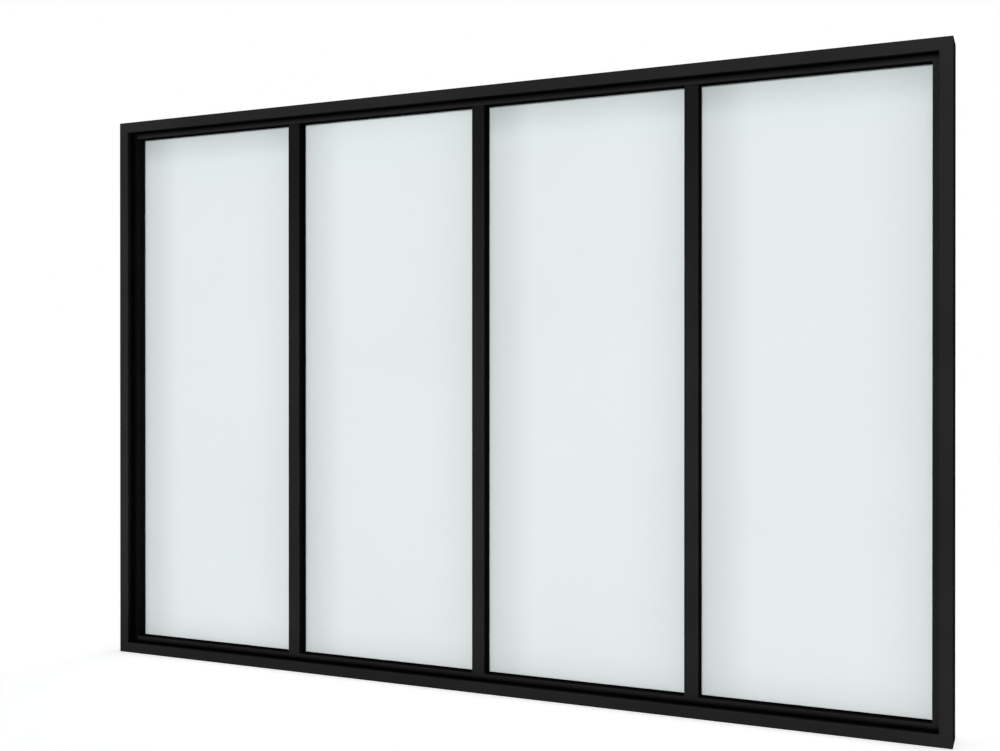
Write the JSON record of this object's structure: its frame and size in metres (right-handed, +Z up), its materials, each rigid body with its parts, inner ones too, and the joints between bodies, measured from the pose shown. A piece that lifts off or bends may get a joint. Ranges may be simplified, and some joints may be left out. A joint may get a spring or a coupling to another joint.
{
  "type": "interior glass partition",
  "caption": "Fixed interior glass partition: upright satin glass panes in a slim black frame with mullions and clip-in glazing beads.",
  "frame": {"origin": "middle of the frame's underside, half way through its depth", "axes": "+X along the width, +Y from the front face to the back, +Z up"},
  "size_m": [1.6, 0.06, 1.08],
  "materials": {
    "frame_coat": "fine matt black powder coat on aluminium",
    "pane_glass": "satin etched safety glass, pale green-grey",
    "gasket_rubber": "matt black",
    "cleat_aluminium": "bare mill finish, hidden in the corners"
  },
  "bodies": {
    "root": {"frame_left_stile": "frame_coat", "frame_right_stile": "frame_coat", "frame_top_rail": "frame_coat", "frame_bottom_rail": "frame_coat", "corner_cleat_bottom_left": "cleat_aluminium", "corner_cleat_bottom_right": "cleat_aluminium", "corner_cleat_top_right": "cleat_aluminium", "corner_cleat_top_left": "cleat_aluminium", "mullion_1": "frame_coat", "mullion_2": "frame_coat", "mullion_3": "frame_coat", "glass_pane_1": "pane_glass", "glass_pane_2": "pane_glass", "glass_pane_3": "pane_glass", "glass_pane_4": "pane_glass", "glazing_gasket_1": "gasket_rubber", "glazing_gasket_2": "gasket_rubber", "glazing_gasket_3": "gasket_rubber", "glazing_gasket_4": "gasket_rubber", "glazing_bead_1_left": "frame_coat", "glazing_bead_1_right": "frame_coat", "glazing_bead_1_top": "frame_coat", "glazing_bead_1_bottom": "frame_coat", "glazing_bead_2_left": "frame_coat", "glazing_bead_2_right": "frame_coat", "glazing_bead_2_top": "frame_coat", "glazing_bead_2_bottom": "frame_coat", "glazing_bead_3_left": "frame_coat", "glazing_bead_3_right": "frame_coat", "glazing_bead_3_top": "frame_coat", "glazing_bead_3_bottom": "frame_coat", "glazing_bead_4_left": "frame_coat", "glazing_bead_4_right": "frame_coat", "glazing_bead_4_top": "frame_coat", "glazing_bead_4_bottom": "frame_coat"}
  },
  "joints": []
}
